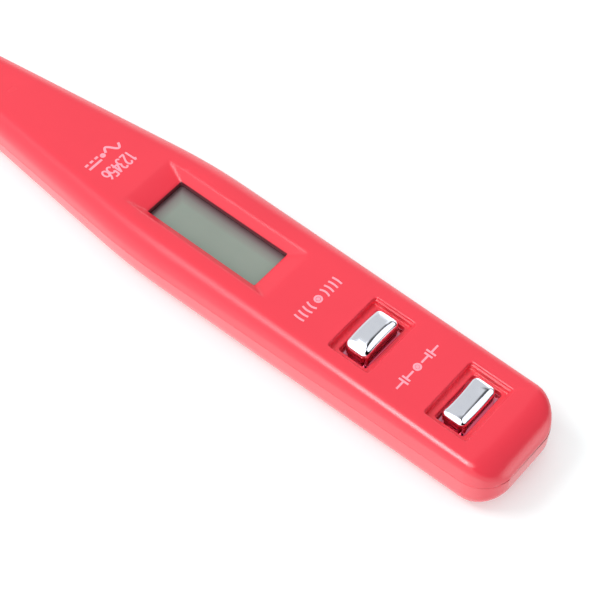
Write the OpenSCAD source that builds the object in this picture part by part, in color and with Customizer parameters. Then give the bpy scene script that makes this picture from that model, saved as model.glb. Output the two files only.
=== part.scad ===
// Pen-type mains voltage tester with a display, two sprung touch buttons and a sleeved blade.
// X runs along the pen, butt at +X and blade at -X. Z is up, and the flat back lies on Z = 0.
// Places along the pen are given as a distance from the butt, which x_at() turns into X.

/* [Case] */
// Thickness of the case over the body
case_h = 10.5; // [10.3:0.1:11.2]
// Width at the butt
butt_w = 17.1; // [17:0.02:18.6]
// Width where the neck starts
waist_w = 19.6; // [19:0.02:20.6]
// Width at the nose
nose_w = 10; // [9.6:0.1:11.5]
// Thickness at the nose
nose_h = 9.1; // [8.6:0.1:9.6]
// Length of the neck, from the bend to the nose
neck_l = 41.5; // [39:0.5:46]
// Length over which that bend is rounded
neck_blend = 13; // [8:1:16]
// Corner radius of the butt, seen from above
butt_corner_r = 5; // [4.4:0.05:5.2]
// Edge radius round the butt end
butt_edge_r = 4.3; // [3.8:0.05:4.3]
// Edge radius along the top at the butt
top_edge_butt = 1.25; // [1:0.05:1.8]
// Edge radius along the top where the neck starts
top_edge_waist = 3.3; // [2.6:0.05:3.4]
// Edge radius along the top at the nose
top_edge_nose = 2.6; // [2:0.1:3]
// Edge radius along the back at the butt
back_edge_butt = 3.15; // [2.8:0.05:3.4]
// Edge radius along the back where the neck starts
back_edge_waist = 4.4; // [3.8:0.05:4.6]
// Edge radius along the back at the nose
back_edge_nose = 3; // [2.4:0.1:3.4]
// Edge radius round the nose's end
nose_edge_r = 0.8; // [0.4:0.1:1.1]
// Height of the seam between the case halves
seam_z = 6.5; // [6.2:0.05:6.55]
// How much wider each side is at the seam than at the edge radius
side_draft = 0.1; // [0:0.05:0.2]
// Wall thickness of both case halves
wall = 1.4; // [1.2:0.1:1.5]
// Depth and height of the bevel along both edges of the seam
seam_bevel = 0.05; // [0.04:0.01:0.12]
// Height of the lip that stands up inside the seam
lip_h = 0.9; // [0.6:0.1:1.1]
// Thickness of that lip
lip_t = 0.65; // [0.5:0.05:0.8]
// Length of the solid nose that holds the probe
nose_solid_l = 9; // [8:0.5:10]

/* [Window] */
// Distance from the case screw to the near end of the display window
window_pitch = 9.1; // [8.6:0.1:10]
// How far the window reaches past the bend where the neck starts
window_over = 1.2; // [0:0.1:2.5]
// Rounding of the surround's edges, as a depth
bevel_soft = 0.16; // [0.08:0.02:0.3]
// Length of the window
window_l = 20.6; // [19:0.1:21]
// Width of the window
window_w = 7.2; // [6:0.1:7.6]
// Depth of the bevelled surround
bevel_depth = 1.27; // [0.9:0.01:1.3]
// Length of the bevel on the blade side
bevel_tip = 3.9; // [2:0.1:4.2]
// Length of the bevel on the butt side
bevel_butt = 3.2; // [2:0.1:3.4]
// Width of the bevel on the long sides
bevel_side = 1.38; // [0.8:0.02:1.6]
// Thickness of the edge left round the window
window_edge = 0.95; // [0.7:0.05:1]

/* [Buttons] */
// Distance from the butt to the middle of the contact button
contact_at = 10.37; // [10.2:0.01:10.9]
// Distance from there to the middle of the sensing button
button_pitch = 16.83; // [15.5:0.01:18]
// Length of each well along the pen
well_l = 7.06; // [6.6:0.02:7.4]
// Width of each well across the pen
well_w = 10.5; // [10:0.1:11]
// Depth of each well
well_depth = 1.1; // [0.9:0.05:1.3]
// Width of the shallow rim along the far and the butt edge of a well
rim_w = 0.3; // [0.2:0.05:0.4]
// Depth of that rim
rim_depth = 0.15; // [0.1:0.05:0.25]
// Edge radius round the top of a well
well_edge_r = 0.22; // [0.1:0.02:0.35]
// Corner radius of the opening in the ledge
hole_corner_r = 0.4; // [0.2:0.05:0.8]
// Thickness of the ledge in the well
ledge_t = 1.1; // [0.9:0.05:1.2]
// Length of the opening in the ledge
hole_l = 4.9; // [4.7:0.05:5.1]
// Width of the opening in the ledge
hole_w = 8.8; // [8.5:0.05:9]
// Room between the cap and its opening along the pen
cap_room_l = 0.475; // [0.3:0.005:0.6]
// Room between the cap and its opening across the pen
cap_room_w = 0.45; // [0.3:0.005:0.6]
// Height of the cap over its flange
cap_h = 3.05; // [2.6:0.01:3.2]
// Corner radius of the cap
cap_corner_r = 1; // [0.95:0.05:1.2]
// Height of the rounding round the cap's top
cap_edge_r = 0.9; // [0.5:0.05:1.1]
// How far that rounding runs in over the top
cap_edge_run = 1.4; // [1:0.05:1.5]
// How far the middle of the sensing cap is raised
crown = 0.5; // [0.2:0.05:0.6]
// How far the middle of the contact cap is dished
dish = 0.5; // [0.2:0.05:0.6]
// How much lower the contact cap is than the sensing cap
contact_sink = 0.25; // [0:0.01:0.5]
// Travel of both buttons
travel = 0.6; // [0.3:0.05:0.8]
// Overhang of the flange that keeps a button in
flange_over = 0.5; // [0.35:0.05:0.6]
// Thickness of that flange
flange_t = 0.5; // [0.4:0.05:0.7]
// Outer diameter of a button spring
button_spring_d = 2.9; // [2.4:0.1:3.4]
// Wire of a button spring
button_wire = 0.3; // [0.2:0.02:0.36]

/* [Probe] */
// Diameter of the steel shaft
shaft_d = 3; // [2.6:0.1:3.2]
// Diameter of the insulating sleeve
sleeve_d = 5; // [4.4:0.1:5.4]
// Length of sleeve outside the nose
sleeve_out = 19; // [15:0.5:22]
// Length of bare shaft outside the sleeve
shaft_out = 10; // [8:0.5:14]
// Length of the flattened blade
blade_l = 6; // [4:0.5:7]
// Thickness of the blade at its tip
blade_t = 0.6; // [0.4:0.05:0.9]
// Length of the spring behind the shaft
probe_spring_l = 8.68; // [7:0.01:10]
// How much narrower the sleeve is inside the nose
sleeve_shoulder = 0.25; // [0.15:0.05:0.4]

/* [Display] */
// Length of the display glass
glass_l = 25.4; // [25:0.1:26]
// Width of the front glass
glass_w = 12; // [11.6:0.1:12.4]
// Width of the rear glass
rear_glass_w = 9.2; // [8.6:0.1:9.4]
// Thickness of each glass
glass_t = 0.7; // [0.5:0.05:0.9]
// Thickness of the front polariser
polariser_t = 0.2; // [0.15:0.05:0.3]
// Thickness of the rear polariser with its reflector
reflector_t = 0.25; // [0.2:0.05:0.4]
// Thickness of the seal between the glasses
cell_t = 0.1; // [0.05:0.01:0.15]
// Thickness of a rubber connector strip
zebra_t = 1.1; // [0.9:0.05:1.2]

/* [Circuit] */
// Thickness of the circuit board
board_t = 1; // [0.8:0.1:1.2]
// Height of the board's underside over the inside of the back
board_lift = 1; // [0.9:0.1:1.4]
// Distance from the butt to the board's butt end
board_from = 6.6; // [6.3:0.1:6.8]
// Length of the board inside the neck
board_in_neck = 15.5; // [14:0.5:18]
// Room between the board and the side walls
board_room = 0.6; // [0.4:0.05:0.9]
// Diameter of a series resistor
resistor_d = 2.3; // [1.8:0.1:2.5]
// Length of a series resistor
resistor_l = 6.2; // [5:0.1:6.6]
// Diameter of a signal diode
diode_d = 1.6; // [1.3:0.1:1.8]
// Length of a signal diode
diode_l = 3.8; // [3:0.1:4.2]
// Diameter of the filter capacitor
can_d = 3.2; // [2.6:0.1:3.6]
// Length of the filter capacitor
can_l = 6.4; // [5:0.1:7]
// Diameter of a disc capacitor
disc_d = 3.8; // [3:0.1:4]
// Thickness of a disc capacitor
disc_t = 1.5; // [1.2:0.1:1.8]
// Diameter of the sealed driver chip
chip_d = 8; // [6:0.5:8.5]
// Height of the sealed driver chip
chip_h = 1; // [0.7:0.1:1.1]

/* [Screw] */
// Distance from the middle of the sensing button to the case screw
screw_pitch = 9.5; // [9:0.1:10.5]
// Diameter of its thread
screw_d = 2.1; // [1.9:0.1:2.3]
// Length under its head
screw_l = 6; // [5:0.5:6.5]
// Diameter of its head
screw_head_d = 4; // [3.6:0.1:4.2]
// Height of its head
screw_head_h = 0.85; // [0.7:0.05:0.9]

/* [Hidden] */

// Smoothness of round parts, steps of an edge radius and steps of a bend
round_fn = 48;
edge_steps = 9;
bend_steps = 9;
corner_steps = 5;
lip_steps = 3;

// Overrun of every cut, and the clearances
cut = 0.5;
slide_gap = 0.1;
seat_gap = 0.02;
fit_gap = 0.05;
glass_gap = 0.15;

// Depth of the flat start of the butt's rounding, and the least edge radius inside the shells
butt_flat = 0.06;
inner_edge_r = 0.12;

// Places along the pen, each from the one before it, as distances from the butt
sense_at = contact_at + button_pitch;
screw_at = sense_at + screw_pitch;
window_from = screw_at + window_pitch;
neck_at = window_from + window_l - window_over;
board_to = neck_at + board_in_neck;
case_l = neck_at + neck_l;
total_l = case_l + sleeve_out + shaft_out;

// Room in the shells
half_blend = neck_blend / 2;
nose_from = case_l - nose_solid_l;
probe_z = nose_h / 2;

// Heights in the stack between the back and the top face
board_z = wall + board_lift;
board_top = board_z + board_t;
pad_t = 0.07;
pad_top = board_top + pad_t;
ledge_z = case_h - well_depth;
ledge_under = ledge_z - ledge_t;
flange_top = ledge_under - seat_gap;
flange_z = flange_top - flange_t;
display_z = case_h - bevel_depth - window_edge;

// Posts, bosses and ribs inside the case
locator_r = 0.8;
locator_boss_r = 1.7;
locator_deep = 2.4;
locator_butt_at = 4.2;
locator_room = 4.4;
locator_neck_at = board_to + locator_room;
lip_from = locator_butt_at + locator_boss_r + slide_gap;
lip_to = locator_neck_at - locator_boss_r - slide_gap;

// Share of the wall that the features inside it grow from
feature_share = 0.7;
post_r = 1.1;
screw_boss_r = 2.4;
screw_clear_r = screw_d / 2 + slide_gap;
screw_seat_z = 1;
window_corner_r = 0.3;
well_corner_r = 0.3;
rib_t = 0.8;
rib_deep = 1.5;
rib_step = 1.2;
guide_over = 0.2;
roof_pad_over = 1;

// Display layers from the window down
window_at = window_from + window_l / 2;
polariser_z = display_z - seat_gap - polariser_t;
front_glass_z = polariser_z - glass_t;
cell_z = front_glass_z - cell_t;
rear_glass_z = cell_z - glass_t;
reflector_z = rear_glass_z - reflector_t;
polariser_in = 0.6;
seal_w = 0.9;
zebra_y = (glass_w + rear_glass_w) / 4;
zebra_in = 1;

// Leads and solder
lead_r = 0.25;
lead_hole_r = 0.35;
lead_reach = 1.1;
solder_r = 0.75;
solder_tip_r = 0.35;
solder_h = 0.55;

// Probe
sleeve_stop = 1;
sleeve_in = nose_solid_l - sleeve_stop;
root_r = sleeve_d / 2 - sleeve_shoulder;
collar_over = 0.7;
collar_r = sleeve_d / 2 + collar_over;
collar_t = 1.5;
collar_step = 2.5;
collar_at = case_l - sleeve_in + collar_step;
shaft_head_r = shaft_d / 2 + collar_over;
shaft_head_t = 1.5;
tab_t = 0.3;
tab_w = 4.4;
tab_foot = 2.6;
tab_rise = 1.9;
tab_at = board_to + seat_gap;
shaft_from = tab_at + tab_t + probe_spring_l;
cradle_t = 1.6;
cradle_at = shaft_from + shaft_head_t + seat_gap;
probe_wire = 0.4;
probe_spring_d = 3.2;

// Places that follow from the sizes above, as distances from the butt
function x_at(d) = total_l / 2 - d;

// How far a place lies past the rounded bend where the neck starts
function ramp(d) = let (u = d - neck_at)
    u <= -half_blend ? 0 : u >= half_blend ? u : pow(u + half_blend, 2) / (4 * half_blend);

// Size that runs straight from the butt to the neck's start and from there to the nose
function along(d, butt, waist, nose) =
    let (body_slope = (waist - butt) / neck_at)
    let (neck_slope = (nose - waist) / neck_l)
    butt + body_slope * d + (neck_slope - body_slope) * ramp(d);

// Half width, edge radii, top and seam height of the case along its length
function half_w(d) = along(d, butt_w / 2, waist_w / 2, nose_w / 2);
function top_edge(d) = along(d, top_edge_butt, top_edge_waist, top_edge_nose);
function back_edge(d) = along(d, back_edge_butt, back_edge_waist, back_edge_nose);
function top_z(d) = along(d, case_h, case_h, nose_h);
function seam_at(d) = along(d, seam_z, seam_z, probe_z);

// How far the nose's edge radius has drawn the case in
function nose_in(d) = let (u = d - case_l + nose_edge_r)
    u <= 0 ? 0 : nose_edge_r - sqrt(max(0, pow(nose_edge_r, 2) - pow(u, 2)));

// How far round the butt's corner a level is at one place, from 0 at its side to 1 at its end.
// The skin is moved in by inset, and the level lies end_in inside the skin's end
function corner_share(d, inset, end_in) =
    let (corner = butt_corner_r - inset)
    max(0, min(1, (corner - (d - inset + butt_flat)) / max(corner - end_in, butt_flat)));

// Half width there of the level that lies side_in inside the skin's side
function level_y(d, inset, side_in, end_in) =
    let (corner = butt_corner_r - inset)
    let (share = corner_share(d, inset, end_in))
    half_w(d) - inset - nose_in(d) - corner + (corner - side_in) * sqrt(1 - share * share);

// Edge of a skin at one place: pairs of half width and height above or below the seam.
// The edge radius grows from the side's to the end's round the corner
function edge_levels(d, inset, edge_r, face_z, sense) =
    let (side_r = max(edge_r - inset, inner_edge_r) - nose_in(d))
    let (end_r = butt_edge_r - inset)
    let (s = d - inset + butt_flat)
    let (sweep = s >= end_r ? 90 : acos(1 - s / end_r))
    [for (k = [0:edge_steps])
        let (a = sweep * k / edge_steps)
        let (end_in = end_r * (1 - cos(a)))
        let (r = side_r + (end_r - side_r) * pow(corner_share(d, inset, end_in), 2))
        [level_y(d, inset, side_r * (1 - cos(a)), end_in), face_z - sense * r * (1 - sin(a))]];

function upper_levels(d, inset) =
    edge_levels(d, inset, top_edge(d), top_z(d) - inset - nose_in(d), 1);
function lower_levels(d, inset) =
    edge_levels(d, inset, back_edge(d), inset + nose_in(d), -1);

// Rings of a case half, clockwise seen from the butt, with the seam moved by over
function upper_ring(d, inset, over) =
    let (e = upper_levels(d, inset))
    let (y = level_y(d, inset, 0, 0) + side_draft)
    let (low = seam_at(d) - over)
    let (b = over > 0 ? 0 : seam_bevel)
    concat(b > 0 ? [[b - y, low], [-y, low + b]] : [[-y, low]], [for (p = e) [-p[0], p[1]]],
        [for (k = [edge_steps:-1:0]) e[k]], b > 0 ? [[y, low + b], [y - b, low]] : [[y, low]]);
function lower_ring(d, inset, over) =
    let (e = lower_levels(d, inset))
    let (y = level_y(d, inset, 0, 0) + side_draft)
    let (high = seam_at(d) + over)
    let (b = over > 0 ? 0 : seam_bevel)
    concat(b > 0 ? [[y - b, high], [y, high - b]] : [[y, high]], e,
        [for (k = [edge_steps:-1:0]) [-e[k][0], e[k][1]]],
        b > 0 ? [[-y, high - b], [b - y, high]] : [[-y, high]]);
function band_ring(d, inset, low, high) =
    let (y = level_y(d, inset, 0, 0) + side_draft)
    [[-y, seam_at(d) - low], [-y, seam_at(d) + high], [y, seam_at(d) + high],
        [y, seam_at(d) - low]];

// Stations along the case, closer where it bends
function stations(inset, last) = concat(
    [for (k = [0:bend_steps]) inset - butt_flat + (butt_corner_r - inset)
        * (1 - cos(butt_angle(inset) + (90 - butt_angle(inset)) * k / bend_steps))],
    [for (k = [0:bend_steps]) neck_at - half_blend + neck_blend * k / bend_steps],
    [last]);
function side_stations(first, last) = concat([first],
    [for (k = [0:bend_steps]) neck_at - half_blend + neck_blend * k / bend_steps], [last]);
function butt_angle(inset) = acos(1 - butt_flat / (butt_corner_r - inset));
function nose_stations() = [for (k = [0:corner_steps])
    case_l - nose_edge_r * (1 - sin(90 * k / corner_steps))];

// Closed skin through rings of points at the given distances from the butt
module loft(rings, places) {
    n = len(rings[0]);
    points = [for (i = [0:len(rings) - 1]) for (p = rings[i]) [x_at(places[i]), p[0], p[1]]];
    sides = [for (i = [0:len(rings) - 2]) for (j = [0:n - 1])
        let (a = i * n + j)
        let (b = i * n + (j + 1) % n)
        each [[a, a + n, b + n], [a, b + n, b]]];
    butt_cap = [[for (j = [0:n - 1]) j]];
    tip_cap = [[for (j = [n - 1:-1:0]) (len(rings) - 1) * n + j]];
    polyhedron(points, concat(butt_cap, sides, tip_cap));
}

module upper_skin(inset, over, places) {
    loft([for (d = places) upper_ring(d, inset, over)], places);
}

module lower_skin(inset, over, places) {
    loft([for (d = places) lower_ring(d, inset, over)], places);
}

module seam_band(inset, low, high, places) {
    loft([for (d = places) band_ring(d, inset, low, high)], places);
}

outer_places = concat(stations(0, case_l - nose_edge_r - cut), nose_stations());

// Block centred across the pen, from one distance to another and one height to another
module slab(d0, d1, w, z0, z1) {
    translate([x_at(d1), -w / 2, z0]) cube([d1 - d0, w, z1 - z0]);
}

// Block with upright rounded corners, centred on a distance from the butt
module pad(at, l, w, r, z0, z1) {
    corners = [[1, 1, 0], [-1, 1, 90], [-1, -1, 180], [1, -1, 270]];
    outline = [for (c = corners) for (k = [0:corner_steps])
        let (a = c[2] + 90 * k / corner_steps)
        [c[0] * (l / 2 - r) + r * cos(a), c[1] * (w / 2 - r) + r * sin(a)]];
    translate([x_at(at), 0, z0]) linear_extrude(z1 - z0) polygon(outline);
}

module post(at, y, r, z0, z1) {
    translate([x_at(at), y, z0]) cylinder(h = z1 - z0, r = r, $fn = round_fn);
}

// Rod along the pen on the probe's axis
module rod(d0, d1, r) {
    translate([x_at(d1), 0, probe_z]) rotate([0, 90, 0])
        cylinder(h = d1 - d0, r = r, $fn = round_fn);
}

// Unbroken coil of wire round +Z, from height 0 to l
coil_rings = 8;
coil_sides = 6;
function coil_point(t, l, r, wire, turns) =
    [r * cos(360 * turns * t), r * sin(360 * turns * t), wire / 2 + (l - wire) * t];
module coil(l, d, wire, turns) {
    r = (d - wire) / 2;
    rings = ceil(turns * coil_rings);
    tilt = atan((l - wire) / turns / (2 * PI * r));
    points = [for (i = [0:rings])
        let (c = coil_point(i / rings, l, r, wire, turns))
        let (a = 360 * turns * i / rings)
        for (k = [0:coil_sides - 1])
        let (b = 360 * k / coil_sides)
        let (out = wire / 2 * cos(b))
        let (up = wire / 2 * sin(b))
        [c[0] + out * cos(a) + up * sin(tilt) * sin(a),
            c[1] + out * sin(a) - up * sin(tilt) * cos(a), c[2] + up * cos(tilt)]];
    sides = [for (i = [0:rings - 1]) for (k = [0:coil_sides - 1])
        let (p = i * coil_sides + k)
        let (q = i * coil_sides + (k + 1) % coil_sides)
        each [[p, p + coil_sides, q + coil_sides], [p, q + coil_sides, q]]];
    start = [[for (k = [0:coil_sides - 1]) k]];
    end = [[for (k = [coil_sides - 1:-1:0]) rings * coil_sides + k]];
    polyhedron(points, concat(start, sides, end));
    echo(str("least gap between the turns of a coil: ", (l - wire) / turns * cos(tilt) - wire));
}

// Locating pins stand where the halves have room beside the board
locators = [[locator_butt_at, half_w(locator_butt_at) - wall - locator_boss_r + cut],
    [locator_neck_at, half_w(locator_neck_at) - wall - locator_boss_r + cut]];
sides = [-1, 1];

// Closed solid through level rings of points, from the lowest ring up
module stack(rings) {
    n = len(rings[0]);
    points = [for (ring = rings) each ring];
    sides = [for (i = [0:len(rings) - 2]) for (j = [0:n - 1])
        let (a = i * n + j)
        let (b = i * n + (j + 1) % n)
        each [[a, b, b + n], [a, b + n, a + n]]];
    bottom = [[for (j = [n - 1:-1:0]) j]];
    top = [[for (j = [0:n - 1]) (len(rings) - 1) * n + j]];
    polyhedron(points, concat(bottom, sides, top));
}

// Level ring at height z round a rectangle from d0 to d1 and from y0 to y1, with corners of radius r
function ring(d0, d1, y0, y1, r, z) =
    [for (c = [[d0 + r, y1 - r, 90], [d0 + r, y0 + r, 0], [d1 - r, y0 + r, -90], [d1 - r, y1 - r, 180]])
        for (k = [0:corner_steps])
        let (a = c[2] - 90 * k / corner_steps)
        [x_at(c[0]) + r * cos(a), c[1] + r * sin(a), z]];

// Point of a bend from p to q that leaves and arrives towards c
function bend(p, c, q, t) = (1 - t) * (1 - t) * p + 2 * t * (1 - t) * c + t * t * q;

// Window with its bevelled surround. A pair holds how far out it is, 0 to 1, and its height
module window_cut() {
    low = case_h - bevel_depth;
    soft = bevel_soft / bevel_depth;
    inner = [for (k = [0:lip_steps]) bend([0, low - bevel_soft], [0, low],
        [soft, low + bevel_soft], k / lip_steps)];
    outer = [for (k = [0:lip_steps]) bend([1 - soft, case_h - bevel_soft], [1, case_h],
        [1 + soft, case_h], k / lip_steps)];
    profile = concat([[0, display_z - cut]], inner, outer, [[1 + soft, case_h + cut]]);
    stack([for (p = profile) ring(window_from - bevel_butt * p[0],
        window_from + window_l + bevel_tip * p[0], -window_w / 2 - bevel_side * p[0],
        window_w / 2 + bevel_side * p[0], window_corner_r * (1 + p[0]), p[1])]);
}

// Straight hole with rounded edges at its top: rectangle as for ring, from z0 to z1
module lipped_cut(d0, d1, y0, y1, corner_r, edge_r, z0, z1) {
    lip = [for (k = [0:lip_steps]) let (a = 90 * k / lip_steps)
        [edge_r * (1 - cos(a)), z1 - edge_r * (1 - sin(a))]];
    profile = concat([[0, z0]], lip, [[edge_r, z1 + cut]]);
    stack([for (p = profile) ring(d0 - p[0], d1 + p[0], y0 - p[0], y1 + p[0], corner_r + p[0], p[1])]);
}

module well_cut(at) {
    d0 = at - well_l / 2;
    d1 = at + well_l / 2;
    w = well_w / 2;
    lipped_cut(d0, d1, -w, w, well_corner_r, well_edge_r, case_h - rim_depth - well_edge_r, case_h);
    lipped_cut(d0 + rim_w, d1, -w, w - rim_w, well_corner_r, rim_depth, ledge_z, case_h - rim_depth);
    slab(d0 + rim_w, d1, well_w - 4 * rim_w, case_h - rim_depth - well_edge_r, case_h);
    lipped_cut(at - hole_l / 2, at + hole_l / 2, -hole_w / 2, hole_w / 2, hole_corner_r, rim_depth,
        ledge_under - cut, ledge_z);
}

module probe_seat_cut() {
    rod(nose_from - cut, case_l + cut, root_r + fit_gap);
    rod(collar_at - fit_gap, collar_at + collar_t + fit_gap, collar_r + fit_gap);
    rod(cradle_at - cut, cradle_at + cradle_t + cut, shaft_d / 2 + fit_gap);
}

module front_shell() {
    color([0.93, 0.25, 0.3]) difference() {
        union() {
            difference() {
                upper_skin(0, 0, outer_places);
                upper_skin(wall, lip_h + cut, stations(wall, nose_from));
                seam_band(wall - lip_t - fit_gap, cut, lip_h + fit_gap,
                    side_stations(lip_from - fit_gap, lip_to + fit_gap));
            }
            intersection() {
                union() {
                    roof_pads();
                    display_ribs();
                    guide_ribs(sense_at);
                    guide_ribs(contact_at);
                    post(screw_at, 0, screw_boss_r, board_top, case_h);
                    board_ribs();
                    for (p = locators) for (s = sides)
                        post(p[0], s * p[1], locator_boss_r, seam_at(p[0]) + fit_gap, case_h);
                    slab(cradle_at, cradle_at + cradle_t, nose_w + wall,
                        seam_at(cradle_at) + fit_gap, case_h);
                }
                upper_skin(wall * feature_share, case_h, stations(wall * feature_share, nose_from + wall));
            }
            for (p = locators) for (s = sides)
                post(p[0], s * p[1], locator_r, seam_at(p[0]) - locator_deep, seam_at(p[0]) + wall);
        }
        window_cut();
        well_cut(sense_at);
        well_cut(contact_at);
        post(screw_at, 0, screw_d / 2 + seat_gap, board_top - cut, board_z + screw_l);
        probe_seat_cut();
    }
}

// Thick places of the roof under the wells and the window
module roof_pads() {
    over = roof_pad_over;
    for (at = [sense_at, contact_at])
        slab(at - well_l / 2 - over, at + well_l / 2 + over, well_w + 2 * over, ledge_under, case_h);
    slab(window_at - glass_l / 2 - over, window_at + glass_l / 2 + over, glass_w + 2 * over,
        display_z, case_h);
}

// Ribs round the flange of a button, which keep it square as it slides
module guide_ribs(at) {
    l = hole_l + 2 * flange_over + 2 * slide_gap;
    w = hole_w + 2 * flange_over + 2 * slide_gap;
    low = flange_z - travel - guide_over;
    difference() {
        slab(at - l / 2 - rib_t, at + l / 2 + rib_t, w + 2 * rib_t, low, ledge_under + cut);
        slab(at - l / 2, at + l / 2, w, low - cut, ledge_under);
    }
}

// Ribs that hold the edges of the display glass
module display_ribs() {
    l = glass_l + 2 * glass_gap;
    w = glass_w + 2 * glass_gap;
    difference() {
        slab(window_at - l / 2 - rib_t, window_at + l / 2 + rib_t, w + 2 * rib_t,
            display_z - rib_deep, display_z + cut);
        slab(window_at - l / 2, window_at + l / 2, w, display_z - rib_deep - cut, display_z);
    }
}

// Ribs that hold the board down on its posts
rib_places = [(contact_at + sense_at) / 2, screw_at];
module board_ribs() {
    for (at = rib_places) for (s = sides)
        translate([x_at(at) - rib_step / 2, s * board_rib_y - rib_step / 2, board_top])
            cube([rib_step, rib_step, case_h - board_top]);
}
board_rib_y = butt_w / 2 - wall - rib_step / 2;

module rear_shell() {
    color([0.93, 0.25, 0.3]) difference() {
        union() {
            difference() {
                union() {
                    lower_skin(0, 0, outer_places);
                    seam_band(wall - lip_t, cut, lip_h, side_stations(lip_from, lip_to));
                }
                lower_skin(wall, lip_h + cut, stations(wall, nose_from));
            }
            intersection() {
                union() {
                    post(screw_at, 0, screw_boss_r, 0, board_z);
                    for (p = board_posts) for (s = sides) post(p, s * board_post_y, post_r, 0, board_z);
                    for (p = locators) for (s = sides)
                        post(p[0], s * p[1], locator_boss_r, 0, seam_at(p[0]) - fit_gap);
                    slab(cradle_at, cradle_at + cradle_t, nose_w + wall, 0, seam_at(cradle_at) - fit_gap);
                }
                lower_skin(wall * feature_share, case_h,
                    stations(wall * feature_share, nose_from + wall));
            }
        }
        for (p = locators) for (s = sides)
            post(p[0], s * p[1], locator_r + seat_gap, seam_at(p[0]) - locator_deep - fit_gap,
                seam_at(p[0]) + cut);
        post(screw_at, 0, screw_head_d / 2 + slide_gap, -cut, screw_seat_z);
        post(screw_at, 0, screw_clear_r, screw_seat_z - cut, board_z + cut);
        probe_seat_cut();
    }
}

// Posts under the board, at its ends, between the buttons and beside the display
board_posts = [board_from + post_r, sense_at, window_from, board_to - post_r];
board_post_y = half_w(board_to) - wall - board_room - post_r;

// Self-tapping screw with a cross recess, head on the rear shell's seat. Of each pitch, the first
// share is bare core, and the ridge's top is at the second
thread_deep = 0.2;
thread_shares = [0.4, 0.7];
head_bevel = 0.25;
slot_share = 0.6;
module case_screw() {
    core_r = screw_d / 2 - thread_deep;
    pitch = 0.6;
    slot_w = 0.55;
    slot_l = screw_head_d * slot_share;
    slot_deep = screw_head_h * slot_share;
    turns = floor((screw_l - pitch) / pitch);
    base = screw_seat_z;
    color([0.72, 0.72, 0.74]) translate([x_at(screw_at), 0, base]) difference() {
        union() {
            translate([0, 0, -screw_head_h]) cylinder(h = screw_head_h, r1 = screw_head_d / 2 - head_bevel,
                r2 = screw_head_d / 2, $fn = round_fn);
            rotate_extrude($fn = round_fn) polygon(concat(
                [[0, -screw_head_h / 2], [core_r, -screw_head_h / 2]],
                [for (k = [0:turns - 1]) each [[core_r, pitch * (k + thread_shares[0])],
                    [screw_d / 2, pitch * (k + thread_shares[1])], [core_r, pitch * (k + 1)]]],
                [[0, screw_l]]));
        }
        for (a = [0, 90]) rotate(a) translate([-slot_l / 2, -slot_w / 2, -screw_head_h - cut])
            cube([slot_l, slot_w, slot_deep + cut]);
    }
}

// Chrome touch button: cap over a flange under the ledge, with a post for its spring
module button(at, high, rise) {
    color([0.82, 0.83, 0.86]) {
        pad(at, hole_l + 2 * flange_over, hole_w + 2 * flange_over, cap_corner_r, flange_z, flange_top);
        post(at, 0, button_spring_d / 2 - button_wire - slide_gap, flange_z - button_post_l,
            flange_top);
        cap(at, flange_top + high, rise);
    }
}
cap_l = hole_l - 2 * cap_room_l;
cap_w = hole_w - 2 * cap_room_w;

// Half length of the cap's level that lies i inside its outline, s from its end
function cap_level(s, i) = let (r = cap_corner_r) s >= r ? cap_l / 2 - i
    : cap_l / 2 - r + sqrt(max(0, pow(r - i, 2) - pow(r - s, 2)));

// Rounded edge of the cap s from its end: pairs of half length and depth below its top
function cap_edge(s) =
    let (sweep = s >= cap_edge_run ? 90 : acos(1 - s / cap_edge_run))
    [for (k = [0:edge_steps]) let (a = sweep * k / edge_steps)
        [cap_level(s, cap_edge_run * (1 - cos(a))), cap_edge_r * (1 - sin(a))]];

// Cap through upright rings across the pen, its ends at height top and its middle rise above that
module cap(at, top, rise) {
    flat = acos(1 - cap_flat / cap_corner_r);
    corner = [for (k = [0:bend_steps]) cap_corner_r
        * (1 - cos(flat + (90 - flat) * k / bend_steps))];
    straight = [for (k = [1:bend_steps]) cap_corner_r
        + (cap_w - 2 * cap_corner_r) * k / (bend_steps + 1)];
    places = concat(corner, straight, [for (k = [bend_steps:-1:0]) cap_w - corner[k]]);
    base = flange_z + flange_t / 2;
    rings = [for (y = places)
        let (e = cap_edge(min(y, cap_w - y)))
        let (z = top + rise * (1 - pow(2 * y / cap_w - 1, 2)))
        concat([[-e[0][0], base]], [for (p = e) [-p[0], z - p[1]]],
            [for (k = [edge_steps:-1:0]) [e[k][0], z - e[k][1]]], [[e[0][0], base]])];
    points = [for (i = [0:len(rings) - 1]) for (p = rings[i])
        [x_at(at) + p[0], places[i] - cap_w / 2, p[1]]];
    n = len(rings[0]);
    sides = [for (i = [0:len(rings) - 2]) for (j = [0:n - 1])
        let (a = i * n + j)
        let (b = i * n + (j + 1) % n)
        each [[a, a + n, b + n], [a, b + n, b]]];
    polyhedron(points, concat([[for (j = [0:n - 1]) j]], sides,
        [[for (j = [n - 1:-1:0]) (len(rings) - 1) * n + j]]));
}
cap_flat = 0.02;
button_post_l = 1.2;

module sense_button() { button(sense_at, cap_h, crown); }
module contact_button() { button(contact_at, cap_h - contact_sink, -dish); }

spring_l = flange_z - pad_top;
button_turns = 4.5;
module button_spring(at) {
    color([0.75, 0.75, 0.77]) translate([x_at(at), 0, pad_top])
        coil(spring_l, button_spring_d, button_wire, button_turns);
}
module sense_spring() { button_spring(sense_at); }
module contact_spring() { button_spring(contact_at); }

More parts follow.
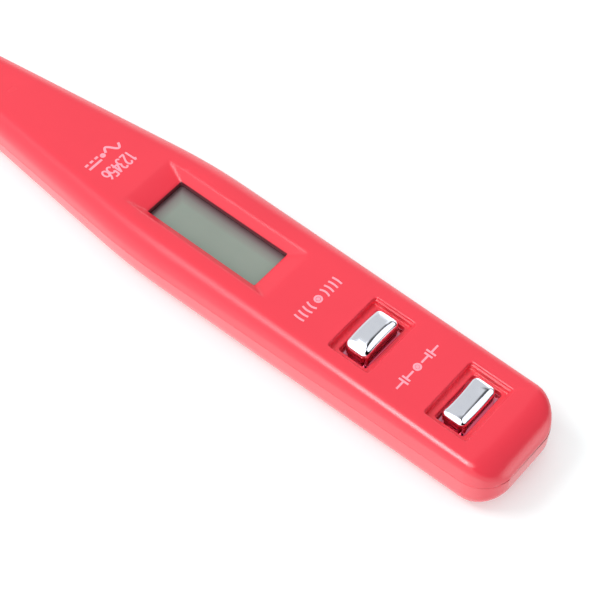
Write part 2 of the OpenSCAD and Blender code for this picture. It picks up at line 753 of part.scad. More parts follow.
// Display: polariser, two glasses with a seal between them, and a reflector
module display_layer(l, w, z, t) {
    slab(window_at - l / 2, window_at + l / 2, w, z, z + t);
}
module front_polariser() {
    color([0.6, 0.65, 0.6]) display_layer(glass_l - 2 * polariser_in, glass_w - 2 * polariser_in,
        polariser_z, polariser_t);
}
module front_glass() { color([0.7, 0.8, 0.78]) display_layer(glass_l, glass_w, front_glass_z, glass_t); }
module cell_seal() {
    color([0.3, 0.3, 0.32]) difference() {
        display_layer(glass_l, rear_glass_w, cell_z, cell_t);
        display_layer(glass_l - 2 * seal_w, rear_glass_w - 2 * seal_w, cell_z - cut, cell_t + 2 * cut);
    }
}
module rear_glass() { color([0.7, 0.8, 0.78]) display_layer(glass_l, rear_glass_w, rear_glass_z, glass_t); }
module rear_reflector() {
    color([0.6, 0.63, 0.6]) display_layer(glass_l - 2 * polariser_in, rear_glass_w - 2 * polariser_in,
        reflector_z, reflector_t);
}

// Rubber connectors between the board's contacts and the ledges of the front glass
module zebra_strips() {
    l = glass_l - 2 * zebra_in;
    color([0.2, 0.2, 0.22]) for (s = sides)
        translate([x_at(window_at) - l / 2, s * zebra_y - zebra_t / 2, pad_top])
            cube([l, zebra_t, front_glass_z - pad_top]);
}

// Leads of the parts on the board: distance from the butt and the places across it
resistor_first = window_at + glass_l / 2 + glass_gap + rib_t + resistor_d / 2;
resistor_room = 0.9;
resistor_pitch = resistor_d + resistor_room;
resistor_places = [resistor_first, resistor_first + resistor_pitch];
can_room = 0.6;
can_at = contact_at + well_l / 2 + can_room + can_d / 2;
diode_room = 1;
diode_first = can_at + can_d / 2 + diode_room + diode_d / 2;
diode_places = [diode_first, screw_at + screw_boss_r + diode_room / 2 + diode_d / 2];
disc_room = 0.9;
disc_at = sense_at + well_l / 2 + disc_room + disc_t / 2;
disc_lift = 0.1;
disc_y = 3.4;
resistor_reach = resistor_l / 2 + lead_reach;
diode_reach = diode_l / 2 + lead_reach;
can_reach = can_l / 2 + lead_reach / 2;
can_pitch = 1.5;
disc_pitch = 2;
lead_places = concat(
    [for (d = resistor_places) for (s = sides) [d, s * resistor_reach]],
    [for (d = diode_places) for (s = sides) [d, s * diode_reach]],
    [for (s = sides) [can_at + s * can_pitch / 2, -can_reach]],
    [for (y = sides) for (s = sides) [disc_at, y * disc_y + s * disc_pitch / 2]]);

module circuit_board() {
    y0 = butt_w / 2 - wall - board_room;
    y1 = half_w(board_to) - wall - board_room;
    color([0.72, 0.6, 0.36]) difference() {
        translate([0, 0, board_z]) linear_extrude(board_t) polygon([
            [x_at(board_from), -y0], [x_at(board_from), y0], [x_at(neck_at), y0],
            [x_at(board_to), y1], [x_at(board_to), -y1], [x_at(neck_at), -y0]]);
        post(screw_at, 0, screw_clear_r, board_z - cut, board_top + cut);
        for (p = lead_places) post(p[0], p[1], lead_hole_r, board_z - cut, board_top + cut);
    }
}

// Copper contacts under the springs and the rubber connectors
contact_count = 14;
contact_share = 0.6;
module copper_pads() {
    pitch = (glass_l - 2 * zebra_in) / contact_count;
    color([0.85, 0.6, 0.35]) {
        for (at = [sense_at, contact_at])
            post(at, 0, button_spring_d / 2 + fit_gap, board_top, pad_top);
        for (s = sides) for (k = [0:contact_count - 1])
            translate([x_at(window_at) + pitch * (k + (1 - contact_share) / 2 - contact_count / 2),
                s * zebra_y - zebra_t / 2, board_top])
                cube([pitch * contact_share, zebra_t, pad_t]);
    }
}

// Driver chip under its domed seal, below the display
module driver_chip() {
    r = (pow(chip_d / 2, 2) + pow(chip_h, 2)) / (2 * chip_h);
    color([0.1, 0.1, 0.11]) intersection() {
        translate([x_at(window_at), 0, board_top + chip_h - r]) sphere(r = r, $fn = round_fn);
        post(window_at, 0, chip_d, board_top, board_top + chip_h + cut);
    }
}

// Part that lies across the board, and the bent lead at each end of such a part
module lying(at, d, l) {
    translate([x_at(at), l / 2, board_top + d / 2]) rotate([90, 0, 0])
        cylinder(h = l, r = d / 2, $fn = round_fn);
}
module bent_leads(at, d, l, reach) {
    z = board_top + d / 2;
    for (s = sides) {
        post(at, s * reach, lead_r, board_z, z);
        translate([x_at(at), s * reach, z]) sphere(r = lead_r, $fn = round_fn / 2);
        translate([x_at(at), s * (l + reach * 2) / 4 + (reach - l / 2) / 2, z]) rotate([90, 0, 0])
            cylinder(h = reach - l / 2, r = lead_r, $fn = round_fn);
    }
}
module series_resistors() {
    color([0.25, 0.5, 0.75]) for (d = resistor_places) lying(d, resistor_d, resistor_l);
}
module resistor_leads() {
    color([0.8, 0.8, 0.82]) for (d = resistor_places) bent_leads(d, resistor_d, resistor_l, resistor_reach);
}
module signal_diodes() {
    color([0.85, 0.45, 0.2]) for (d = diode_places) lying(d, diode_d, diode_l);
}
module diode_leads() {
    color([0.8, 0.8, 0.82]) for (d = diode_places) bent_leads(d, diode_d, diode_l, diode_reach);
}
module filter_capacitor() { color([0.12, 0.14, 0.3]) lying(can_at, can_d, can_l); }
module capacitor_leads() {
    z = board_top + can_d / 2;
    color([0.8, 0.8, 0.82]) for (s = sides) translate([s * can_pitch / 2, 0, 0]) {
        post(can_at, -can_reach, lead_r, board_z, z);
        translate([x_at(can_at), -can_reach, z]) sphere(r = lead_r, $fn = round_fn / 2);
        translate([x_at(can_at), -can_l / 2, z]) rotate([90, 0, 0])
            cylinder(h = can_reach - can_l / 2, r = lead_r, $fn = round_fn);
    }
}

// Disc capacitors standing on their leads
module disc_capacitors() {
    z = board_top + disc_lift + disc_d / 2;
    color([0.85, 0.5, 0.15]) for (y = sides) {
        translate([x_at(disc_at) - disc_t / 2, y * disc_y, z]) rotate([0, 90, 0])
            cylinder(h = disc_t, r = disc_d / 2, $fn = round_fn);
        for (s = sides) post(disc_at, y * disc_y + s * disc_pitch / 2, lead_r, board_z, z);
    }
}

module solder_joints() {
    color([0.7, 0.71, 0.73]) for (p = lead_places)
        translate([x_at(p[0]), p[1], board_z - solder_h])
            cylinder(h = solder_h, r1 = solder_tip_r, r2 = solder_r, $fn = round_fn);
}

// Brass tab on the board's neck end that the probe spring presses on
module probe_tab() {
    color([0.8, 0.65, 0.3]) {
        slab(tab_at, tab_at + tab_t, tab_w, probe_z - tab_rise, probe_z + tab_rise);
        slab(tab_at - tab_foot, tab_at + tab_t / 2, tab_w, board_top, board_top + tab_t);
    }
}

probe_turns = 6;
module probe_spring() {
    color([0.75, 0.75, 0.77]) translate([x_at(shaft_from), 0, probe_z]) rotate([0, 90, 0])
        coil(probe_spring_l, probe_spring_d, probe_wire, probe_turns);
}

// Steel shaft with a head inside the case and a flat blade at the tip
module probe_shaft() {
    color([0.78, 0.78, 0.8]) {
        rod(shaft_from, shaft_from + shaft_head_t, shaft_head_r);
        difference() {
            rod(shaft_from, total_l, shaft_d / 2);
            for (s = sides) blade_cut(s);
        }
    }
}
module blade_cut(side) {
    r = shaft_d / 2;
    translate([0, shaft_d, probe_z]) rotate([90, 0, 0]) linear_extrude(2 * shaft_d) polygon([
        [x_at(total_l - blade_l), side * (r + cut)], [x_at(total_l - blade_l), side * r],
        [x_at(total_l), side * blade_t / 2], [x_at(total_l + cut), side * blade_t / 2],
        [x_at(total_l + cut), side * (r + cut)]]);
}

module probe_sleeve() {
    color([0.9, 0.22, 0.27]) difference() {
        union() {
            rod(case_l - sleeve_in, case_l + seat_gap, root_r);
            rod(case_l + seat_gap, case_l + sleeve_out, sleeve_d / 2);
            rod(collar_at, collar_at + collar_t, collar_r);
        }
        rod(case_l - sleeve_in - cut, case_l + sleeve_out + cut, shaft_d / 2 + seat_gap);
    }
}

front_shell();
rear_shell();
case_screw();
sense_button();
contact_button();
sense_spring();
contact_spring();
front_polariser();
front_glass();
cell_seal();
rear_glass();
rear_reflector();
zebra_strips();
circuit_board();
copper_pads();
driver_chip();
series_resistors();
resistor_leads();
signal_diodes();
diode_leads();
filter_capacitor();
capacitor_leads();
disc_capacitors();
solder_joints();
probe_tab();
probe_spring();
probe_shaft();
probe_sleeve();
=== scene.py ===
"""Looks of the pen-type voltage tester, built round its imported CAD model. Everything is in metres."""

import math

import bpy
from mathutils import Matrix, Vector


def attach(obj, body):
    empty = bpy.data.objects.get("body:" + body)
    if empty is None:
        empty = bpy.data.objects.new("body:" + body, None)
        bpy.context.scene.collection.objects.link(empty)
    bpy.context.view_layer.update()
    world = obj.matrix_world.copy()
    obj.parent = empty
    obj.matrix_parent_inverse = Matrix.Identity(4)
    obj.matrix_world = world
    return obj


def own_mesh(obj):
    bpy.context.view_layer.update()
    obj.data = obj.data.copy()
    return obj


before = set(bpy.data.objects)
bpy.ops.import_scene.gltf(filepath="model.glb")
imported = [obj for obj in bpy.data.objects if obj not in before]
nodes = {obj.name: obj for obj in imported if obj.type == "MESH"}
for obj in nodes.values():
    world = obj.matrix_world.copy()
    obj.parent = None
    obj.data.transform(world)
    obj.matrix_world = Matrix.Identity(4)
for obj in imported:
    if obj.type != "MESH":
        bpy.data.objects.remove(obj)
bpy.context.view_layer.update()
MM = 0.001

# Sizes of the pen, in millimetres. A name in _AT, and d, is a distance from the butt
LENGTH = 135.7
TOP = 10.5
NECK_AT, NECK_BLEND, NECK_L, NOSE_H = 65.2, 13.0, 41.5, 9.1
WINDOW_AT, WINDOW_L, WINDOW_W = 56.1, 20.6, 7.2

# Print: how far its top rises over the face, what is added from stroke to stroke so that crossing strokes
# don't share a plane, and how far its base sinks into the face
PRINT_LIFT = 0.012
PRINT_STEP = 0.002
PRINT_STEPS = 4
PRINT_SINK = 0.02


def x_at(d):
    """X of a distance from the butt."""
    return LENGTH / 2 - d


def top_z(d):
    """Height of the top face at a distance from the butt."""
    u, half = d - NECK_AT, NECK_BLEND / 2
    down = 0 if u <= -half else u if u >= half else (u + half) ** 2 / (4 * half)
    return TOP - (TOP - NOSE_H) / NECK_L * down


# Materials


def new_material(name):
    """Material with a Principled surface: the material, its node tree and its shader."""
    m = bpy.data.materials.new(name)
    m.use_nodes = True
    nt = m.node_tree
    nt.nodes.clear()
    out = nt.nodes.new("ShaderNodeOutputMaterial")
    bsdf = nt.nodes.new("ShaderNodeBsdfPrincipled")
    nt.links.new(bsdf.outputs["BSDF"], out.inputs["Surface"])
    return m, nt, bsdf


def noise(nt, scale, detail, roughness, stretch):
    """Noise in the object's own metres, at scale cells a millimetre."""
    at = nt.nodes.new("ShaderNodeTexCoord")
    mapping = nt.nodes.new("ShaderNodeMapping")
    mapping.inputs["Scale"].default_value = [s / MM for s in stretch]
    n = nt.nodes.new("ShaderNodeTexNoise")
    n.inputs["Scale"].default_value = scale
    n.inputs["Detail"].default_value = detail
    n.inputs["Roughness"].default_value = roughness
    nt.links.new(at.outputs["Object"], mapping.inputs["Vector"])
    nt.links.new(mapping.outputs["Vector"], n.inputs["Vector"])
    return n.outputs["Fac"]


def ramp(nt, fac, stops):
    """Colour ramp. A stop is (position, colour)."""
    r = nt.nodes.new("ShaderNodeValToRGB")
    for i, (at, colour) in enumerate(stops):
        e = r.color_ramp.elements[i] if i < 2 else r.color_ramp.elements.new(at)
        e.position = at
        e.color = (*colour, 1)
    nt.links.new(fac, r.inputs["Fac"])
    return r.outputs["Color"]


def bump(nt, height, depth):
    """Normal that shows height, depth metres deep."""
    b = nt.nodes.new("ShaderNodeBump")
    b.inputs["Strength"].default_value = 1.0
    b.inputs["Distance"].default_value = depth
    nt.links.new(height, b.inputs["Height"])
    return b.outputs["Normal"]


def calc(nt, operation, *values):
    """One step of arithmetic. A value is a number or a socket."""
    m = nt.nodes.new("ShaderNodeMath")
    m.operation = operation
    for sock, v in zip(m.inputs, values):
        if isinstance(v, (int, float)):
            sock.default_value = v
        else:
            nt.links.new(v, sock)
    return m.outputs[0]


def mix(nt, a, b, fac):
    """From a at fac 0 to b at fac 1. Each is a number or a socket."""
    m = nt.nodes.new("ShaderNodeMix")
    m.data_type = "FLOAT"
    for sock, v in ((m.inputs[0], fac), (m.inputs[2], a), (m.inputs[3], b)):
        if isinstance(v, (int, float)):
            sock.default_value = v
        else:
            nt.links.new(v, sock)
    return m.outputs[0]


def scaled(colour, k):
    return tuple(min(1.0, v * k) for v in colour)


def surface(name, colour, roughness, metallic=0.0, vary=0.04, grain=0.6, bump_um=2.0, bump_scale=1.2,
            rough_vary=0.04, stretch=(1, 1, 1), coat=0.0, transmission=0.0):
    """Surface whose colour, roughness and height vary a little, as moulded, plated or drawn ones do.

    grain and bump_scale are in cells a millimetre, and bump_um is the height in micrometres.
    """
    m, nt, b = new_material(name)
    n = noise(nt, grain, 3.0, 0.55, stretch)
    tints = ramp(nt, n, [(0.3, scaled(colour, 1 - vary)), (0.7, scaled(colour, 1 + vary))])
    nt.links.new(tints, b.inputs["Base Color"])
    spread = nt.nodes.new("ShaderNodeMapRange")
    spread.inputs["To Min"].default_value = max(0.0, roughness - rough_vary)
    spread.inputs["To Max"].default_value = roughness + rough_vary
    nt.links.new(noise(nt, grain * 2.3, 2.0, 0.5, stretch), spread.inputs["Value"])
    nt.links.new(spread.outputs["Result"], b.inputs["Roughness"])
    if bump_um:
        rise = bump(nt, noise(nt, bump_scale, 3.0, 0.5, stretch), bump_um * MM / 1000)
        nt.links.new(rise, b.inputs["Normal"])
    b.inputs["Metallic"].default_value = metallic
    b.inputs["IOR"].default_value = 1.5
    b.inputs["Coat Weight"].default_value = coat
    b.inputs["Transmission Weight"].default_value = transmission
    return m


case_red = surface("case_red", (0.87, 0.044, 0.073), 0.25, vary=0.02, grain=0.08, bump_um=3.0,
                   bump_scale=0.5, rough_vary=0.05)
sleeve_red = surface("sleeve_red", (0.8, 0.045, 0.068), 0.34, vary=0.03, grain=0.15, bump_um=3.0,
                     bump_scale=0.8)
chrome = surface("chrome", (0.875, 0.91, 1.0), 0.09, metallic=1.0, vary=0.02, grain=0.7, bump_um=4.0,
                 bump_scale=0.45, rough_vary=0.03)
steel = surface("probe_steel", (0.62, 0.62, 0.64), 0.24, metallic=1.0, vary=0.06, grain=0.4, bump_um=2.0,
                bump_scale=3.0, rough_vary=0.08, stretch=(0.15, 1, 1))
wire = surface("drawn_wire", (0.6, 0.6, 0.62), 0.28, metallic=1.0, vary=0.05, grain=3.0, bump_um=0)
tinned = surface("tinned_wire", (0.72, 0.72, 0.74), 0.25, metallic=1.0, vary=0.05, grain=3.0, bump_um=0)
solder = surface("solder", (0.58, 0.59, 0.61), 0.22, metallic=1.0, vary=0.08, grain=2.0, bump_um=4.0,
                 bump_scale=3.0)
zinc = surface("screw_zinc", (0.6, 0.6, 0.63), 0.3, metallic=1.0, vary=0.08, grain=1.5, bump_um=3.0,
               bump_scale=3.0)
brass = surface("tab_brass", (0.74, 0.56, 0.24), 0.28, metallic=1.0, vary=0.06, grain=0.8, bump_um=2.0)
copper = surface("copper_foil", (0.78, 0.44, 0.26), 0.3, metallic=1.0, vary=0.1, grain=1.2, bump_um=2.0)
rubber = surface("connector_rubber", (0.03, 0.03, 0.033), 0.65, vary=0.2, grain=2.0, bump_um=6.0,
                 bump_scale=4.0)
resin = surface("chip_resin", (0.012, 0.012, 0.014), 0.35, vary=0.2, grain=0.6, bump_um=6.0, bump_scale=1.0)
board = surface("board_laminate", (0.46, 0.3, 0.12), 0.45, vary=0.12, grain=1.5, bump_um=6.0,
                bump_scale=3.0, stretch=(1, 0.3, 1))
lacquer = surface("resistor_lacquer", (0.08, 0.25, 0.5), 0.35, vary=0.1, grain=1.0, bump_um=5.0)
diode = surface("diode_glass", (0.65, 0.2, 0.06), 0.1, vary=0.15, grain=1.5, bump_um=1.0, coat=0.5)
sleeving = surface("capacitor_sleeve", (0.02, 0.03, 0.09), 0.2, vary=0.15, grain=1.0, bump_um=2.0)
ceramic = surface("ceramic_coat", (0.7, 0.28, 0.04), 0.4, vary=0.1, grain=1.5, bump_um=8.0)
glass = surface("cell_glass", (0.85, 0.93, 0.9), 0.03, vary=0.01, grain=0.5, bump_um=0, transmission=0.9)
cell_line = surface("cell_seal", (0.15, 0.15, 0.16), 0.5, vary=0.1, grain=2.0, bump_um=2.0)
face = surface("display_face", (0.27, 0.325, 0.28), 0.2, vary=0.03, grain=0.12, bump_um=0.6, bump_scale=1.5)
backing = surface("display_backing", (0.32, 0.37, 0.32), 0.4, vary=0.03, grain=0.5, bump_um=1.0)
ink = surface("print_ink", (0.93, 0.37, 0.46), 0.5, vary=0.05, grain=1.6, bump_um=4.0, bump_scale=4.0)


def find_bsdf(nt):
    return next(n for n in nt.nodes if n.type == "BSDF_PRINCIPLED")


def over_base(nt, fac, colour, blend="MIX"):
    """Lay a colour over the material's own by fac. Both may be numbers or sockets."""
    bsdf = find_bsdf(nt)
    mixed = nt.nodes.new("ShaderNodeMix")
    mixed.data_type, mixed.blend_type = "RGBA", blend
    nt.links.new(bsdf.inputs["Base Color"].links[0].from_socket, mixed.inputs[6])
    for sock, v in ((mixed.inputs[0], fac), (mixed.inputs[7], colour)):
        if isinstance(v, bpy.types.NodeSocket):
            nt.links.new(v, sock)
        else:
            sock.default_value = (*v, 1) if isinstance(v, tuple) else v
    nt.links.new(mixed.outputs[2], bsdf.inputs["Base Color"])


def map_range(nt, value, from_min, from_max, kind="LINEAR"):
    """value from 0 at from_min to 1 at from_max."""
    rng = nt.nodes.new("ShaderNodeMapRange")
    rng.interpolation_type = kind
    rng.inputs["From Min"].default_value = from_min
    rng.inputs["From Max"].default_value = from_max
    nt.links.new(value, rng.inputs["Value"])
    return rng.outputs["Result"]


def surface_point(nt):
    """X, Y and Z of a surface point, in the frame's metres."""
    split = nt.nodes.new("ShaderNodeSeparateXYZ")
    nt.links.new(nt.nodes.new("ShaderNodeTexCoord").outputs["Object"], split.inputs[0])
    return split.outputs[:3]


# Display: painted shade along its blade and far edges, where the window's walls shade them, and a painted
# reflection of the red bevels
SHADE_REACH, SHADE_CORNER = 2.4, 0.4
SHADE_TINTS = [(0, (0.4, 0.17, 0.23)), (0.23, (0.7, 0.4, 0.48)), (0.47, (0.86, 0.69, 0.75)),
               (0.7, (0.95, 0.83, 0.87)), (1, (1, 1, 1))]
nt = face.node_tree
x, y, _ = surface_point(nt)
from_tip = calc(nt, "SUBTRACT", x, (x_at(WINDOW_AT) - WINDOW_L / 2) * MM)
from_far = calc(nt, "SUBTRACT", WINDOW_W / 2 * MM, y)
nearest = calc(nt, "SMOOTH_MIN", from_tip, from_far, SHADE_CORNER * MM)
over_base(nt, 1.0, ramp(nt, map_range(nt, nearest, 0, SHADE_REACH * MM), SHADE_TINTS), "MULTIPLY")

# Case: painted shade, a dark colour laid on the upright walls round the display
WALL_OUT, WALL_IN = 0.08, 0.02
nt = case_red.node_tree
x, y, _ = surface_point(nt)
beyond = [calc(nt, "SUBTRACT", calc(nt, "ABSOLUTE", calc(nt, "SUBTRACT", v, c * MM)), h * MM)
          for v, c, h in ((x, x_at(WINDOW_AT), WINDOW_L / 2), (y, 0, WINDOW_W / 2))]
over_base(nt, map_range(nt, calc(nt, "MAXIMUM", *beyond), WALL_OUT * MM, WALL_IN * MM), (0.13, 0.02, 0.03))

# Where the case's edges are softened: heights over the seam, distances from the butt, and how far from the
# window's ends along the pen. Each goes from none to full
SOFT_Z, SOFT_FULL_Z = 7.7, 8.2
SOFT_D, SOFT_FULL_D = 3.5, 1.5
WIDE_REACH, WIDE_FULL_REACH = 6, 4


def soften(material, radius, window_radius):
    """Round a material's sharp edges in its shading, by radius, or by window_radius near the window."""
    nt = material.node_tree
    edge = nt.nodes.new("ShaderNodeBevel")
    edge.samples = 6
    x, _, z = surface_point(nt)
    off = calc(nt, "ABSOLUTE", calc(nt, "SUBTRACT", x, x_at(WINDOW_AT) * MM))
    near = map_range(nt, off, (WINDOW_L / 2 + WIDE_REACH) * MM, (WINDOW_L / 2 + WIDE_FULL_REACH) * MM)
    high = map_range(nt, z, SOFT_Z * MM, SOFT_FULL_Z * MM)
    butt = map_range(nt, x, x_at(SOFT_D) * MM, x_at(SOFT_FULL_D) * MM)
    full = mix(nt, radius * MM, window_radius * MM, near)
    nt.links.new(mix(nt, 0, full, calc(nt, "MAXIMUM", high, butt)), edge.inputs["Radius"])
    rise = find_bsdf(nt).inputs["Normal"].links[0].from_node
    nt.links.new(edge.outputs["Normal"], rise.inputs["Normal"])


def paint_crevice_shade(material, colour, reach, start, end):
    """Paint shade and a reflected tint, colour, into a plated material where surfaces within reach
    millimetres close it in.
    """
    nt = material.node_tree
    shut = nt.nodes.new("ShaderNodeAmbientOcclusion")
    shut.samples = 8
    shut.inputs["Distance"].default_value = reach * MM
    over_base(nt, map_range(nt, shut.outputs["AO"], start, end), colour, "MULTIPLY")


soften(case_red, 0.3, 0.65)
# Painted shade and a painted reflection of the red case on the chrome low down in the wells
paint_crevice_shade(chrome, (0.72, 0.2, 0.27), 2.5, 0.75, 0.35)

DRESS = {
    "front_shell": case_red, "rear_shell": case_red, "case_screw": zinc, "sense_button": chrome,
    "contact_button": chrome, "sense_spring": wire, "contact_spring": wire, "front_polariser": face,
    "front_glass": glass, "cell_seal": cell_line, "rear_glass": glass, "rear_reflector": backing,
    "zebra_strips": rubber, "circuit_board": board, "copper_pads": copper, "driver_chip": resin,
    "series_resistors": lacquer, "resistor_leads": tinned, "signal_diodes": diode, "diode_leads": tinned,
    "filter_capacitor": sleeving, "capacitor_leads": tinned, "disc_capacitors": ceramic,
    "solder_joints": solder, "probe_tab": brass, "probe_spring": wire, "probe_shaft": steel,
    "probe_sleeve": sleeve_red}

SHARP_EDGE = math.radians(32)
SAME_POINT = 1e-6


def smooth_group(angle):
    """Geometry nodes that shade a mesh smooth except over edges sharper than angle."""
    g = bpy.data.node_groups.new("smooth_by_angle", "GeometryNodeTree")
    g.interface.new_socket("Geometry", in_out="INPUT", socket_type="NodeSocketGeometry")
    g.interface.new_socket("Geometry", in_out="OUTPUT", socket_type="NodeSocketGeometry")
    put = g.nodes.new
    enter, leave = put("NodeGroupInput"), put("NodeGroupOutput")
    merge = put("GeometryNodeMergeByDistance")
    merge.inputs["Distance"].default_value = SAME_POINT
    faces, edges = put("GeometryNodeSetShadeSmooth"), put("GeometryNodeSetShadeSmooth")
    faces.domain, edges.domain = "FACE", "EDGE"
    over = put("GeometryNodeInputMeshEdgeAngle")
    test = put("FunctionNodeCompare")
    test.data_type, test.operation = "FLOAT", "LESS_EQUAL"
    test.inputs["B"].default_value = angle
    link = g.links.new
    link(enter.outputs[0], merge.inputs["Geometry"])
    link(merge.outputs["Geometry"], faces.inputs["Geometry"])
    link(faces.outputs["Geometry"], edges.inputs["Geometry"])
    link(over.outputs["Unsigned Angle"], test.inputs["A"])
    link(test.outputs["Result"], edges.inputs["Shade Smooth"])
    link(edges.outputs["Geometry"], leave.inputs[0])
    return g


SMOOTH = smooth_group(SHARP_EDGE)


def smooth(obj):
    obj.modifiers.new("smooth", "NODES").node_group = SMOOTH
    w = obj.modifiers.new("weighted", "WEIGHTED_NORMAL")
    w.keep_sharp = True
    w.mode = "FACE_AREA_WITH_ANGLE"


for name, mat in DRESS.items():
    o = nodes[name]
    o.data.materials.clear()
    o.data.materials.append(mat)
    smooth(o)

# Each spring gets a mesh of its own
for name, joint in (("sense_spring", "sense_press"), ("contact_spring", "contact_press")):
    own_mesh(nodes[name])

# Printed marks. A row of marks is a list of strokes, and a stroke is a list of points (u, v): u runs across
# the pen and v towards the butt, in heights of the row


def stroke_mesh(verts, faces, points, width, rise, place):
    """Add a flat ribbon along points, with its top rise over the face and its base in the case."""
    n = len(points)
    left, right = [], []
    for i, p in enumerate(points):
        a, b = points[max(i - 1, 0)], points[min(i + 1, n - 1)]
        t = Vector((b[0] - a[0], b[1] - a[1])).normalized()
        s = Vector((-t.y, t.x)) * width / 2
        left.append((p[0] + s.x, p[1] + s.y))
        right.append((p[0] - s.x, p[1] - s.y))
    first = len(verts)
    for lift in (rise, -PRINT_SINK):
        for side in (left, right):
            verts.extend(place(u, v, lift) for u, v in side)
    tl, tr, bl, br = first, first + n, first + 2 * n, first + 3 * n
    for i in range(n - 1):
        j = i + 1
        faces += [(tl + i, tl + j, tr + j, tr + i), (bl + i, br + i, br + j, bl + j),
                  (tl + i, bl + i, bl + j, tl + j), (tr + i, tr + j, br + j, br + i)]
    faces += [(tl, tr, br, bl), (tl + n - 1, bl + n - 1, br + n - 1, tr + n - 1)]


def arc(cx, cy, r, a0, a1, steps=14):
    """Points of an arc from a0 to a1 degrees."""
    return [(cx + r * math.cos(math.radians(a0 + (a1 - a0) * k / steps)),
             cy + r * math.sin(math.radians(a0 + (a1 - a0) * k / steps))) for k in range(steps + 1)]


def print_row(name, marks, at_d, at_y, height, width):
    """Row of marks on the top face, whose tops point to the butt and which reads from +Y to -Y.

    Its middle is at_d from the butt and at_y across. All four sizes are in millimetres.
    """
    verts, faces = [], []

    def place(u, v, lift):
        d, y = at_d - v * height, at_y - u * height
        return (x_at(d) * MM, y * MM, (top_z(d) + lift) * MM)

    for i, points in enumerate(marks):
        stroke_mesh(verts, faces, points, width / height, PRINT_LIFT + i % PRINT_STEPS * PRINT_STEP, place)
    mesh = bpy.data.meshes.new(name)
    mesh.from_pydata(verts, [], faces)
    mesh.update()
    obj = bpy.data.objects.new(name, mesh)
    bpy.context.scene.collection.objects.link(obj)
    mesh.materials.append(ink)
    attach(obj, "case")


def shifted(strokes, du):
    return [[(u + du, v) for u, v in s] for s in strokes]


DOT = [arc(0, 0, 0.09, 0, 360, 12)]
RINGED_DOT = DOT + [arc(0, 0, 0.3, 0, 360, 24)]
waves = []
for k in range(1, 5):
    r = 0.42 + 0.5 * k
    half = math.degrees(math.asin(0.5 / r))
    waves += [arc(0, 0, r, -half, half), arc(0, 0, r, 180 - half, 180 + half)]
print_row("sense_print", RINGED_DOT + waves, 36.75, -0.25, 1.75, 0.3)

plates = []
for s in (-1, 1):
    plates += [[(s * 0.55, 0), (s * 1.5, 0)], [(s * 1.5, 0.42), (s * 1.5, -0.42)],
               [(s * 1.85, 0.5), (s * 1.85, -0.5)], [(s * 1.85, 0), (s * 2.8, 0)]]
print_row("contact_print", RINGED_DOT + plates, 19.1, -0.2, 1.65, 0.3)

wave = [(0.95 * (k / 24 - 0.5), 0.3 * math.sin(2 * math.pi * k / 24)) for k in range(25)]
direct = [[(-0.48, 0.16), (0.48, 0.16)]]
direct += [[(c - 0.11, -0.16), (c + 0.11, -0.16)] for c in (-0.37, 0, 0.37)]
print_row("supply_print", shifted([wave], -0.72) + DOT + shifted(direct, 0.72), 78.2, -0.7, 2.75, 0.4)

digit_strokes = {
    "1": [[(-0.14, 0.3), (0.06, 0.5)], [(0.06, 0.5), (0.06, -0.5)]],
    "2": [arc(0, 0.22, 0.27, 165, -35, 12) + [(-0.27, -0.5)], [(-0.3, -0.5), (0.3, -0.5)]],
    "3": [arc(0, 0.24, 0.25, 150, -80, 12), arc(0, -0.24, 0.27, 80, -150, 12)],
    "4": [[(0.14, -0.5), (0.14, 0.5)], [(0.14, 0.5), (-0.3, -0.2)], [(-0.3, -0.2), (0.34, -0.2)]],
    "5": [[(0.26, 0.5), (-0.22, 0.5)], [(-0.22, 0.5), (-0.25, 0.05)], arc(0, -0.19, 0.31, 140, -150, 14)],
    "6": [arc(0, -0.2, 0.29, 0, 360, 20), arc(0.42, -0.16, 0.7, 180, 118, 8)]}
DIGIT_NARROW, DIGIT_PITCH = 0.62, 0.45
digits = []
for i, c in enumerate("123456"):
    digits += [[(u * DIGIT_NARROW + (i - 2.5) * DIGIT_PITCH, v) for u, v in stroke]
               for stroke in digit_strokes[c]]
print_row("number_print", digits, 74.9, -0.55, 2.2, 0.3)

# Floor: paper that looks a little brighter to the camera than its light makes it
FLOOR_HALF, FLOOR_DROP = 3.0, 0.00002
FLOOR_GLOW = 0.26
corners = [(u * FLOOR_HALF, v * FLOOR_HALF, 0) for u, v in ((-1, -1), (1, -1), (1, 1), (-1, 1))]
floor_mesh = bpy.data.meshes.new("floor")
floor_mesh.from_pydata(corners, [], [(0, 1, 2, 3)])
floor = bpy.data.objects.new("floor", floor_mesh)
floor.location.z = -FLOOR_DROP
bpy.context.scene.collection.objects.link(floor)
fm = bpy.data.materials.new("floor_paper")
fm.use_nodes = True
nt = fm.node_tree
nt.nodes.clear()
out = nt.nodes.new("ShaderNodeOutputMaterial")
add = nt.nodes.new("ShaderNodeAddShader")
paper = nt.nodes.new("ShaderNodeBsdfDiffuse")
paper.inputs["Color"].default_value = (0.785, 0.86, 0.865, 1)
glow = nt.nodes.new("ShaderNodeEmission")
path = nt.nodes.new("ShaderNodeLightPath")
nt.links.new(mix(nt, 0.0, FLOOR_GLOW, path.outputs["Is Camera Ray"]), glow.inputs["Strength"])
nt.links.new(paper.outputs[0], add.inputs[0])
nt.links.new(glow.outputs[0], add.inputs[1])
nt.links.new(add.outputs[0], out.inputs["Surface"])
floor_mesh.materials.append(fm)
floor.visible_glossy = False

# World: an even studio for diffuse light, and soft boxes and dark gaps for what reflects


def lobe(nt, direction, value, towards, inner, outer, result):
    """result, but value within inner degrees of towards, and blended out to outer degrees."""
    dot = nt.nodes.new("ShaderNodeVectorMath")
    dot.operation = "DOT_PRODUCT"
    nt.links.new(direction, dot.inputs[0])
    dot.inputs[1].default_value = Vector(towards).normalized()
    edge, middle = math.cos(math.radians(outer)), math.cos(math.radians(inner))
    return mix(nt, result, value, map_range(nt, dot.outputs["Value"], edge, middle, "SMOOTHSTEP"))


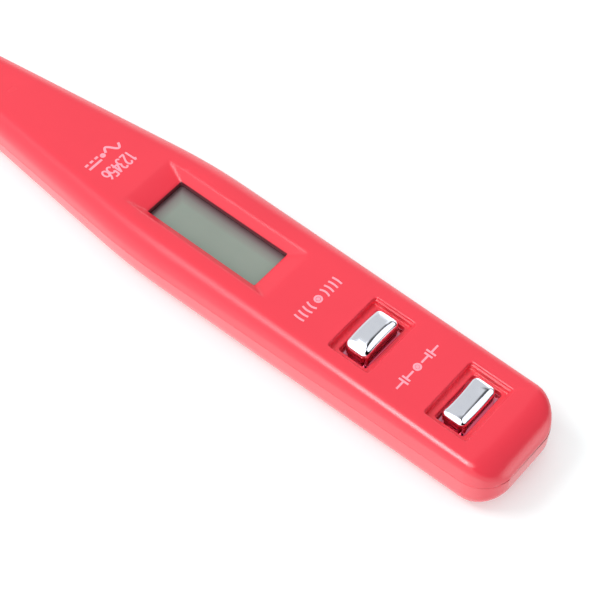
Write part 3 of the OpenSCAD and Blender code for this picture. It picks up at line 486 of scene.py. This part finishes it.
# What reflects: the room, and then each lobe over it as (value, direction, inner angle, outer angle)
ROOM = 1.6
STUDIO = [
    (2.1, (-0.37, 0.9, 0.15), 14, 30),
    (0.0, (0.8, 0.25, 0.55), 50, 66),
    (0.1, (0.0, 0.45, 0.89), 10, 20),
    (1.0, (-0.9, 0.4, 0.25), 18, 32),
    (0.85, (-0.55, 0.42, 0.72), 20, 34),
    (1.35, (0, 0, -1), 66, 88),
    (3.2, (0.86, 0.44, -0.26), 9, 23),
    (2.1, (-0.3, -0.75, -0.6), 34, 56),
    (10.0, (-0.05, -0.36, 0.93), 10, 30),
]
# What lights everything else, with less from over the butt
AMBIENT = 1.08
AMBIENT_SHADE = (0.8, (0.85, 0.1, 0.3), 35, 75)
BACKGROUND = 1.0

world = bpy.data.worlds.new("studio")
bpy.context.scene.world = world
world.use_nodes = True
nt = world.node_tree
nt.nodes.clear()
wout = nt.nodes.new("ShaderNodeOutputWorld")
bg = nt.nodes.new("ShaderNodeBackground")
wpath = nt.nodes.new("ShaderNodeLightPath")
coords = nt.nodes.new("ShaderNodeTexCoord")
glossy = ROOM
for patch in STUDIO:
    glossy = lobe(nt, coords.outputs["Generated"], *patch, glossy)
ambient = lobe(nt, coords.outputs["Generated"], *AMBIENT_SHADE, AMBIENT)
light = mix(nt, ambient, glossy, wpath.outputs["Is Glossy Ray"])
seen = calc(nt, "MAXIMUM", wpath.outputs["Is Camera Ray"], wpath.outputs["Is Transmission Ray"])
nt.links.new(mix(nt, light, BACKGROUND, seen), bg.inputs["Strength"])
nt.links.new(bg.outputs[0], wout.inputs["Surface"])


def area(name, towards, distance, size, watts, only=(), diffuse=True):
    """Disk lamp in metres, aimed at the pen's middle.

    With only, it lights and shows in those objects alone. Without diffuse, it only shows as a reflection.
    """
    light = bpy.data.lights.new(name, "AREA")
    light.shape, light.size, light.energy = "DISK", size, watts
    o = bpy.data.objects.new(name, light)
    away = Vector(towards).normalized()
    o.location = away * distance
    o.rotation_mode = "QUATERNION"
    o.rotation_quaternion = away.to_track_quat("Z", "Y")
    o.visible_glossy = bool(only)
    o.visible_diffuse, o.visible_camera = diffuse, False
    bpy.context.scene.collection.objects.link(o)
    if only:
        lit = bpy.data.collections.new(name + "_lit")
        for target in only:
            lit.objects.link(target)
        o.light_linking.receiver_collection = lit


area("key", (-0.6, -0.4, 1.0), 1.2, 0.5, 4.5)
area("fill", (0.15, -0.9, 0.45), 1.4, 0.9, 4.0)
area("card", (0.6, 0.44, 0.67), 0.5, 0.52, 0.78, (nodes["sense_button"], nodes["contact_button"]))
area("glint", (0.29, -0.41, 0.865), 0.11, 0.055, 0.062, (nodes["front_shell"], nodes["rear_shell"]), False)

# Camera at the photograph's place, solved from the edges that show
AZIMUTH, ELEVATION, DISTANCE = math.radians(40.17), math.radians(55.107), 0.25519
TARGET = Vector((0.02925, -0.00204, 0.0105))
SENSOR, LENS = 36.0, 108.96
CLIP_NEAR, CLIP_FAR = 0.01, 20.0
cam_data = bpy.data.cameras.new("camera")
cam = bpy.data.objects.new("camera", cam_data)
bpy.context.scene.collection.objects.link(cam)
bpy.context.scene.camera = cam
back = Vector((math.sin(AZIMUTH) * math.cos(ELEVATION), -math.cos(AZIMUTH) * math.cos(ELEVATION),
               math.sin(ELEVATION)))
cam.location = TARGET + back * DISTANCE
cam.rotation_mode = "QUATERNION"
cam.rotation_quaternion = back.to_track_quat("Z", "Y")
cam_data.sensor_width, cam_data.lens = SENSOR, LENS
cam_data.clip_start, cam_data.clip_end = CLIP_NEAR, CLIP_FAR

bpy.context.scene.view_settings.view_transform = "Standard"

bpy.context.view_layer.update()
